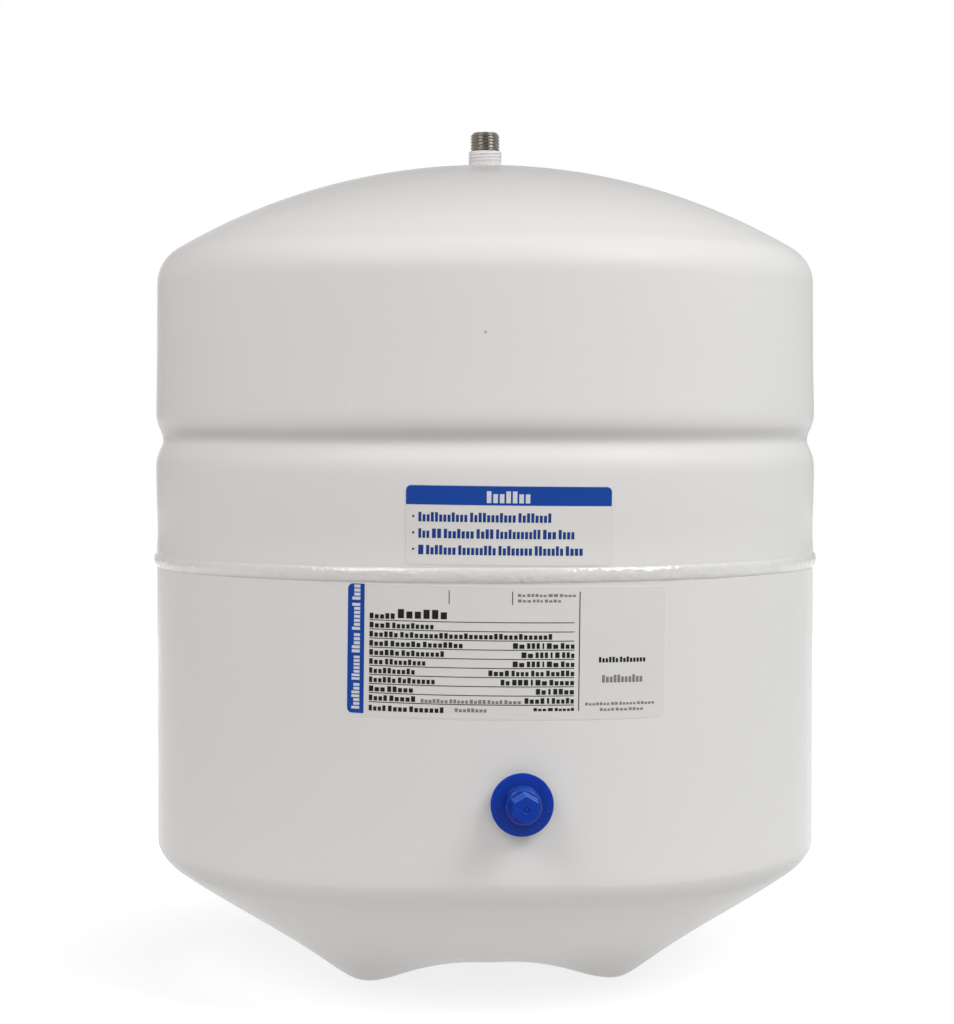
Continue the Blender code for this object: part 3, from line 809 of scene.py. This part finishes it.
def build_nipple(look):
    """Stainless nipple with its pipe thread, held in the bushing by its collar."""
    collar = (shell_top + bushing_bottom) / 2
    low, high = collar - nipple_collar_height / 2, collar + nipple_collar_height / 2
    profile = [(nipple_bore + nipple_lip, nipple_top)]
    profile += thread_profile(
        nipple_root, nipple_crest, pipe_pitch, nipple_top, bushing_top + gap, thread_steps,
        lead_in=nipple_chamfer,
    )
    profile += [
        (nipple_shank, bushing_top + gap),
        (nipple_shank, high),
        (nipple_collar, high),
        (nipple_collar, low),
        (nipple_shank, low),
        (nipple_shank, bushing_bottom),
        (nipple_bore, bushing_bottom),
        (nipple_bore, nipple_top - nipple_lip),
    ]
    mesh = grid_mesh("threaded_nipple", rings(profile, thread_steps), wrap_rows=True)
    add_piece("threaded_nipple", mesh, look, "tank", "water_nipple")


def build_bushing(look):
    """White bushing: a short thread, a hub that flares to the dome, and the inner flange."""
    hub = shell_top + bushing_hub
    bore = nipple_shank + gap
    recess = nipple_collar + gap
    collar = (shell_top + bushing_bottom) / 2
    low = collar - nipple_collar_height / 2 - gap
    high = collar + nipple_collar_height / 2 + gap
    flange_top = bushing_bottom + bushing_flange_height
    ring_middle = (bushing_neck + bushing_flange) / 2
    ring_floor = flange_top - 2 * ring_groove_half + gap
    profile = [(bore, bushing_top), (bushing_crest - 2 * bushing_lead, bushing_top)]
    profile += thread_profile(
        bushing_root, bushing_crest, pipe_pitch, bushing_top - bushing_lead / 2, hub, thread_steps,
        lead_in=bushing_lead,
    )
    for i in range(1, hub_steps + 1):
        radius = bushing_root + (bushing_neck - bushing_root) * (i / hub_steps) ** hub_curve
        profile.append((radius, hub - bushing_hub * i / hub_steps))
    profile += [
        (bushing_neck, flange_top),
        (ring_middle - ring_groove_half, flange_top),
        (ring_middle - ring_groove_half, ring_floor),
        (ring_middle + ring_groove_half, ring_floor),
        (ring_middle + ring_groove_half, flange_top),
        (bushing_flange, flange_top),
        (bushing_flange, bushing_bottom),
        (bore, bushing_bottom),
        (bore, low),
        (recess, low),
        (recess, high),
        (bore, high),
    ]
    mesh = grid_mesh("threaded_bushing", rings(profile, thread_steps), wrap_rows=True)
    add_piece("threaded_bushing", mesh, look, "tank", "nipple_bushing")


def build_stem(look):
    """Brass valve stem, with the thread that the cap screws on to."""
    profile = [(stem_bore, stem_tip)]
    profile += thread_profile(
        stem_root, stem_crest, valve_pitch, stem_tip, nut_top + gap, thread_steps,
        lead_in=stem_chamfer,
    )
    profile += [
        (stem_base, nut_top + gap),
        (stem_base, stem_head_high),
        (stem_head, stem_head_high),
        (stem_head, stem_head_low),
        (stem_seat, stem_head_low),
        (stem_seat, stem_seat_reach),
        (stem_bore, stem_seat_reach + gap),
    ]
    mesh = on_valve(grid_mesh("threaded_stem", rings(profile, thread_steps), wrap_rows=True))
    add_piece("threaded_stem", mesh, look, "tank", "valve_stem")


def rounded(corner, before, after, size):
    """Points that round a profile's corner between its two neighbours."""
    corner, before, after = Vector(corner), Vector(before), Vector(after)
    start = corner + (before - corner).normalized() * size
    end = corner + (after - corner).normalized() * size
    made = []
    for i in range(round_pieces + 1):
        t = i / round_pieces
        point = start * (1 - t) ** 2 + corner * 2 * t * (1 - t) + end * t ** 2
        made.append((point.x, point.y))
    return made


def hexagon(flat, steps):
    """Radius of a hexagon with softened corners, at each step round it; a corner is up."""
    turns = 2 * pi * (np.arange(steps) + 0.5) / steps
    total = np.zeros(steps)
    for k in range(3):
        total += np.abs(np.cos(turns - k * pi / 3)) ** cap_grip_sharpness
    return flat / total ** (1 / cap_grip_sharpness)


def build_cap(look):
    """Screw cap: flange, chamfered hub and drafted hexagonal grip with a dimpled end."""
    hub_tip = cap_hub - cap_hub_taper
    inner_rim = hub_tip - cap_hub_chamfer
    hub_corner = cap_hub_top - cap_hub_chamfer
    outline = [
        (cap_bore, cap_rear),
        (cap_flange, cap_rear),
        (cap_flange, cap_front - cap_flange_dish),
        (cap_hub, cap_front),
        (hub_tip, hub_corner),
        (inner_rim, cap_hub_top),
        (cap_grip_flat, cap_hub_top),
    ]
    profile = [(cap_axis_hole, cap_bore_end), (cap_bore, cap_bore_end), outline[0]]
    sizes = (cap_edge, cap_hub_edge, cap_hub_edge, cap_edge, cap_edge)
    for i, size in enumerate(sizes, 1):
        profile += rounded(outline[i], outline[i - 1], outline[i + 1], size)
    base = hexagon(cap_grip_flat + cap_grip_draft, cap_steps)
    end = hexagon(cap_grip_flat, cap_steps)
    turns = [pi / 2 * i / round_pieces for i in range(round_pieces + 1)]
    for turn in turns:
        out = cap_grip_fillet * (1 - sin(turn))
        profile.append((base + out, cap_hub_top + cap_grip_fillet * (1 - cos(turn))))
    foot = cap_hub_top + cap_grip_fillet
    length = cap_end - cap_edge - cap_hub_top - cap_grip_fillet
    for i in range(1, grip_rows + 1):
        share = i / grip_rows
        profile.append((base + (end - base) * share, foot + length * share))
    for turn in turns[1:]:
        profile.append((end - cap_edge * (1 - cos(turn)), cap_end - cap_edge * (1 - sin(turn))))
    floor = cap_end - cap_dimple_depth
    profile += [(cap_dimple + out, cap_end - deep) for out, deep in dimple_round]
    profile += [(cap_dimple - dimple_wall, floor), (cap_nub + dimple_wall, floor)]
    profile += [(cap_nub + out, cap_end - deep) for out, deep in nub_round]
    mesh = on_valve(grid_mesh("screw_cap", rings(profile, cap_steps), cap_ends=True))
    add_piece("screw_cap", mesh, look, "cap", "valve_cap")


def slab(work, centre, box, lifts, corners):
    """Adds a thin slab that lies on the wall.

    Corners are the radii at its left and right ends, and 1 or 0 for rounding its base as well.
    """
    left, right, low, high = box
    start, end = left + corners[0], right - corners[1]
    count = max(1, ceil((end - start) / film_spacing))
    across = [(start + (end - start) * i / count, 0) for i in range(count + 1)]
    turns = [pi / 2 * i / corner_pieces for i in range(1, corner_pieces + 1)]
    if corners[0]:
        bend = [(start - corners[0] * sin(t), corners[0] * (1 - cos(t))) for t in turns]
        across = bend[::-1] + across
    if corners[1]:
        across += [(end + corners[1] * sin(t), corners[1] * (1 - cos(t))) for t in turns]
    rows = max(1, ceil((high - low) / film_spacing))
    sheets = []
    for lift in lifts:
        columns = []
        for place, cut in across:
            lowest = low + cut * corners[2]
            span = high - cut - lowest
            heights = [lowest + span * i / rows for i in range(rows + 1)]
            columns.append([
                work.verts.new(on_label(centre, place, height, lift)) for height in heights
            ])
        sheets.append(columns)
    inner, outer = sheets
    wide = len(across) - 1
    for i in range(wide):
        for j in range(rows):
            work.faces.new((outer[i][j], outer[i + 1][j], outer[i + 1][j + 1], outer[i][j + 1]))
            work.faces.new((inner[i][j + 1], inner[i + 1][j + 1], inner[i + 1][j], inner[i][j]))
        for j in (0, rows):
            work.faces.new((inner[i][j], inner[i + 1][j], outer[i + 1][j], outer[i][j]))
    for j in range(rows):
        for i in (0, wide):
            work.faces.new((inner[i][j], outer[i][j], outer[i][j + 1], inner[i][j + 1]))


def on_label(centre, across, rise, lift):
    """Point on the wall at a place of a label, measured from the label's middle."""
    return on_wall(across + label_turn * rise, centre + rise - label_turn * across, lift)


def printed(name, centre, boxes, look, lifts, corners=(0, 0, 1), stands_for=None):
    """One piece of thin slabs on the wall: a film, or all the print of one ink."""
    work = bmesh.new()
    for box in boxes:
        slab(work, centre, box, lifts, corners)
    mesh = bpy.data.meshes.new(name)
    work.to_mesh(mesh)
    work.free()
    tidy_normals(mesh)
    return add_piece(name, mesh, look, "tank", stands_for)


def blocks(start, base, height, lengths, space, pitch, upright=False):
    """Plain blocks in place of the words of a line, with gaps between words and blocks."""
    made = []
    count = 0
    for length in lengths:
        pieces = max(1, round(length / pitch))
        step = (length + pitch * block_gap) / pieces
        for i in range(pieces):
            tall = i == 0 or count % block_cycle in block_tall
            count += 1
            low = start + i * step
            box = (low, low + step - pitch * block_gap)
            top = base + height * (1 if tall else block_low)
            if upright:
                made.append((2 * base - top + height, base + height) + box)
            else:
                made.append(box + (base, top))
        start += length + space
    return made


# Blocks of print: which ones are tall, how tall the others are, and the gap between them
block_cycle = 11
block_tall = (3, 4, 8)
block_low = 0.76
block_gap = 0.30

# Print on the upper film, in millimetres from its middle: a heading and three lines
heading_height = 7.3
heading_bar = (-8.9, 7.6, 4.5, 1.9)
heading_pitch = 2.5
upper_start = -34.9
upper_bullet = (-37.3, 0.8, 2)
upper_print_height = 3.6
upper_pitch = 1.55
upper_space = 1.05
upper_lines = (
    (1.25, (18.7, 17.3, 12.6)),
    (-5.0, (4.2, 3.5, 11.4, 6.4, 16.9, 5.0, 6.2)),
    (-11.25, (2.0, 11.3, 14.2, 12.8, 11.0, 6.7)),
)

# Print on the data film: a band at the left, a ruled table, and a column at the right
band_width = 6.9
band_drop = 0.9
band_text = (-61.6, 3.3, -22.7, 1.4)
band_words = (9.8, 9.2, 7.4, 10.3, 5.8)
band_space = 1.25
table_left = -54.4
table_right = 24.9
rule_first = 11.4
rule_last = -19.9
rule_height = 0.30
row_rise = 0.55
row_height = 2.15
row_space = 1.0
row_pitch = 1.85
title_height = 3.5
left_rows = (
    (10.0,),
    (8.1, 16.1),
    (11.3, 58.2),
    (7.5, 11.7, 15.2),
    (11.9, 16.4),
    (5.4, 15.8),
    (18.1,),
    (10.6, 14.3),
    (6.4, 10.1),
    (7.3, 10.1),
)
title_start = -43.1
title_words = (19.0,)
title_pitch = 3.1
last_row = -23.1
last_words = (6.8, 7.4, 13.2)
right_rows = (
    (3, (4.4, 4.9, 0.7, 4.4, 5.4)),
    (4, (4.4, 4.8, 0.8, 1.7, 4.8)),
    (5, (4.4, 5.0, 0.7, 4.5, 5.2)),
    (6, (7.8, 6.5, 4.8, 10.9)),
    (7, (3.4, 6.1, 0.8, 4.4, 9.6)),
    (8, (3.8, 0.9, 8.1)),
    (9, (7.6, 0.9, 8.6)),
)
divider = (26.7, 0.36, -22.0, 23.4)
header_rules = ((-23.5, 0.30, 18.3, 23.5), (0.6, 0.30, 18.3, 23.4))
# Fine grey lines: start, base, height, word lengths
fine_lines = (
    (2.8, 21.4, 1.1, (2.8, 7.4, 3.7, 6.3)),
    (2.8, 19.3, 1.1, (5.0, 3.8, 6.3)),
    (-33.8, -19.35, 1.5, (10.3, 7.0, 6.0, 5.6, 6.3)),
    (-20.7, -22.6, 1.5, (12.1,)),
    (36.2, -11.4, 2.9, (16.9,)),
    (29.5, -20.0, 1.1, (9.8, 2.7, 6.8, 7.5)),
    (35.5, -22.2, 1.1, (5.7, 4.8, 6.1)),
)
fine_pitch = 1.5
fine_space = 0.75
# Small bold lines: start, base, height, word lengths
small_lines = (
    (34.8, -3.7, 2.1, (7.9, 10.9)),
    (9.3, -22.0, 1.2, (4.8, 1.9, 7.5)),
)
small_pitch = 1.4


def metres(boxes):
    return [tuple(value / 1000 for value in box) for box in boxes]


def data_blocks():
    """All the bold print of the data film."""
    made = []
    for i, lengths in enumerate(left_rows):
        rule = rule_first + (rule_last - rule_first) * i / (len(left_rows) - 1)
        made.append((table_left, table_right, rule, rule + rule_height))
        line = rule + row_rise + rule_height / 2
        made += blocks(table_left, line, row_height, lengths, row_space, row_pitch)
    for i, lengths in right_rows:
        rule = rule_first + (rule_last - rule_first) * i / (len(left_rows) - 1)
        line = rule + row_rise + rule_height / 2
        start = table_right - sum(lengths) - row_space * (len(lengths) - 1)
        made += blocks(start, line, row_height, lengths, row_space, row_pitch)
    title_base = rule_first + 2 * row_rise
    made += blocks(title_start, title_base, title_height, title_words, row_space, title_pitch)
    made += blocks(table_left, last_row, row_height, last_words, row_space, row_pitch)
    for start, base, height, lengths in small_lines:
        made += blocks(start, base, height, lengths, fine_space, small_pitch)
    for place, width, low, high in (divider,) + header_rules:
        made.append((place, place + width, low, high))
    return made


def build_labels():
    """Both labels: a film with its rim, and one piece for the print of each ink."""
    film = film_look("clear_film", 0.30)
    sheet = film_look("label_film", 0.33)
    # The rims' looks are painted light: the darker one is painted shade, the lighter one a painted
    # highlight
    rim_shade = film_look("film_edge", 0.35)
    rim_light = film_look("film_edge_light", 0.30)
    blue = ink_look("blue_ink")
    dark_blue = ink_look("blue_print")
    black = ink_look("black_print")
    grey = ink_look("grey_print")
    white = ink_look("reversed_print")
    ink = (print_low, print_high)
    reverse = (print_low, print_high + over_print)

    centre = upper_label_height
    half, tall = upper_label_half_width, upper_label_half_height
    corners = (label_corner, label_corner, 1)
    printed(
        "upper_film", centre, [(-half, half, -tall, tall)], film,
        (film_low, film_high), corners, "upper_label",
    )
    rim = (label_corner + film_rim, label_corner + film_rim, 1)
    # Painted shade: a darker rim just round the upper film, along its edge
    wide, high = half + film_rim, tall + film_rim
    printed(
        "upper_film_edge", centre, [(-wide, wide, -high, high)], rim_shade,
        (rim_low, rim_high), rim,
    )
    heading = tall - heading_height / 1000
    printed(
        "upper_heading", centre, [(-half, half, heading, tall)], blue, ink,
        (label_corner, label_corner, 0),
    )
    left, right, height, drop = heading_bar
    line = tall * 1000 - drop - height
    bars = blocks(left, line, height, (right - left,), 0, heading_pitch)
    printed("upper_heading_bars", centre, metres(bars), white, reverse)
    bars = []
    for base, lengths in upper_lines:
        bars += blocks(upper_start, base, upper_print_height, lengths, upper_space, upper_pitch)
        start, size, rise = upper_bullet
        bars.append((start, start + size, base + size * rise, base + size * (rise + 1)))
    printed("upper_print", centre, metres(bars), dark_blue, ink)

    centre = data_label_height
    half, tall = data_label_half_width, data_label_half_height
    printed(
        "data_film", centre, [(-half, half, -tall, tall)], sheet,
        (film_low, film_high), corners, "data_label",
    )
    # Painted highlight: a lighter rim just round the data film, along its edge
    wide, high = half + film_rim, tall + film_rim
    printed(
        "data_film_edge", centre, [(-wide, wide, -high, high)], rim_light,
        (rim_low, rim_high), rim,
    )
    band = (-half, band_width / 1000 - half, band_drop / 1000 - tall, tall)
    printed("data_band", centre, [band], blue, ink, (label_corner, 0, 1))
    start, height, base, pitch = band_text
    bars = blocks(base, start, height, band_words, band_space, pitch, True)
    printed("data_band_bars", centre, metres(bars), white, reverse)
    printed("data_print", centre, metres(data_blocks()), black, ink)
    bars = []
    for start, base, height, lengths in fine_lines:
        bars += blocks(start, base, height, lengths, fine_space, fine_pitch)
    printed("data_fine_print", centre, metres(bars), grey, ink)


# Studio; a lamp is name, azimuth, elevation, watts, width, height, tint, seen in reflections
floor_size = 8.0
floor_drop = 0.0002
floor_tone = (0.40, 0.40, 0.40)
white_light = (1.0, 1.0, 1.0)
floor_near = 0.14
floor_far = 0.36
floor_glow_near = 0.70
floor_glow_far = 1.0
floor_lift = 0.39
floor_lift_start = 0.192
floor_lift_end = 0.288
floor_dim = (-0.45, 0.10)
ambient_level = 0.02
backdrop_level = 1.0
backdrop_edge_level = 0.55
room_level = 0.09
floor_room_level = 0.10
# How far back a ray points where the room turns lighter, and where it turns white
side_turn = (-0.35, 0.10)
back_turn = (0.93, 0.99)
lamp_distance = 1.7
look_height = 0.18
lamps = (
    ("key_right", 50, 42, 14.6, 0.8, 0.8, (0.985, 1.0, 0.99), True),
    ("fill_left", -50, 42, 8.6, 0.8, 0.8, (1.0, 0.965, 0.96), True),
    ("front", 0, 20, 9.6, 2.2, 1.2, (1.0, 0.985, 0.98), False),
    ("side_left", -80, 19, 8.7, 1.4, 1.4, (1.0, 0.985, 0.975), False),
    ("side_right", 80, 19, 8.4, 1.4, 1.4, (0.985, 1.0, 0.99), False),
    ("back", 180, 5, 9.5, 1.0, 0.5, (1.0, 0.99, 0.985), False),
)


def floor_look():
    """Pale floor that keeps a soft shadow and turns white in the camera's eye further out."""
    made = new_look("pale_floor")
    made.tree.nodes.remove(made.tree.nodes["Principled BSDF"])
    away = made.measure("LENGTH", made.place())
    glow = made.span(away, floor_glow_near, floor_glow_far, floor_near, floor_far)
    seen, by_camera = made.seen()
    behind = made.span(made.along("Y"), floor_room_level, 1.0, *floor_dim)
    glow = made.math("MULTIPLY", glow, made.math("MAXIMUM", behind, by_camera))
    lift = made.span(away, floor_lift, 0.0, floor_lift_start, floor_lift_end)
    strength = made.add("ShaderNodeMix", {0: seen, 2: lift, 3: glow}).outputs[0]
    pale = made.add("ShaderNodeBsdfDiffuse", {"Color": floor_tone}).outputs[0]
    shine = {"Color": white_light, "Strength": strength}
    lit = made.add("ShaderNodeEmission", shine).outputs[0]
    lit = made.add("ShaderNodeAddShader", {0: pale, 1: lit}).outputs[0]
    made.feed(made.tree.nodes["Material Output"].inputs["Surface"], lit)
    return made.look


def build_floor():
    work = bmesh.new()
    bmesh.ops.create_grid(work, x_segments=1, y_segments=1, size=floor_size / 2)
    mesh = bpy.data.meshes.new("floor")
    work.to_mesh(mesh)
    work.free()
    mesh.materials.append(floor_look())
    floor = bpy.data.objects.new("floor", mesh)
    floor.location.z = -floor_drop
    bpy.context.scene.collection.objects.link(floor)


def build_room():
    """White backdrop in the camera's eye and in reflections, a low even light for the rest.

    Reflections show the backdrop's white behind the object and the dim room before it.
    """
    world = bpy.data.worlds.new("studio")
    bpy.context.scene.world = world
    made = Nodes(world)
    room = made.tree.nodes["Background"]
    made.feed(room.inputs["Color"], white_light)
    made.feed(room.inputs["Strength"], ambient_level)
    back = made.along("Y", made.add("ShaderNodeTexCoord").outputs["Generated"])
    sides = made.span(back, room_level, backdrop_edge_level, *side_turn)
    straight = made.span(back, 0.0, backdrop_level, *back_turn)
    seen, by_camera = made.seen()
    level = made.math("MAXIMUM", made.math("MAXIMUM", sides, straight), by_camera)
    shine = {"Color": white_light, "Strength": level}
    backdrop = made.add("ShaderNodeBackground", shine).outputs[0]
    inputs = {0: seen, 1: room.outputs[0], 2: backdrop}
    mixed = made.add("ShaderNodeMixShader", inputs).outputs[0]
    made.feed(made.tree.nodes["World Output"].inputs["Surface"], mixed)


def build_lamps():
    for name, azimuth, elevation, watts, width, height, tint, mirrored in lamps:
        lamp = bpy.data.lights.new(name, "AREA")
        lamp.shape = "RECTANGLE"
        lamp.size = width
        lamp.size_y = height
        lamp.energy = watts
        lamp.color = tint
        holder = bpy.data.objects.new(name, lamp)
        turn, rise = radians(azimuth), radians(elevation)
        away = Vector((sin(turn) * cos(rise), -cos(turn) * cos(rise), sin(rise)))
        holder.location = Vector((0, 0, look_height)) + away * lamp_distance
        holder.rotation_euler = away.to_track_quat("Z", "Y").to_euler()
        holder.visible_glossy = mirrored
        holder.visible_camera = False
        bpy.context.scene.collection.objects.link(holder)


# Camera at the photograph's viewing angle, level, its frame shifted down as the photograph's is
camera_azimuth = radians(-5.6)
camera_distance = 1.19
camera_height = 0.2366
camera_lens = 97.31
camera_sensor = 36
camera_shift_x = -0.0079
camera_shift_y = -0.0976


def build_camera():
    camera = bpy.data.cameras.new("camera")
    camera.lens = camera_lens
    camera.sensor_width = camera_sensor
    camera.shift_x = camera_shift_x
    camera.shift_y = camera_shift_y
    holder = bpy.data.objects.new("camera", camera)
    across, away = sin(camera_azimuth), -cos(camera_azimuth)
    holder.location = (camera_distance * across, camera_distance * away, camera_height)
    holder.rotation_euler = (pi / 2, 0, camera_azimuth)
    bpy.context.scene.collection.objects.link(holder)
    bpy.context.scene.camera = holder


paint = paint_look()
brass_finish = dress_frame()
build_upper_shell(paint)
build_lower_shell(paint)
build_weld(bead_look())
build_nipple(steel_look())
build_bushing(white_plastic_look())
build_stem(brass_finish)
build_cap(blue_plastic_look())
build_labels()
build_floor()
build_room()
build_lamps()
build_camera()
bpy.context.scene.view_settings.view_transform = "Standard"
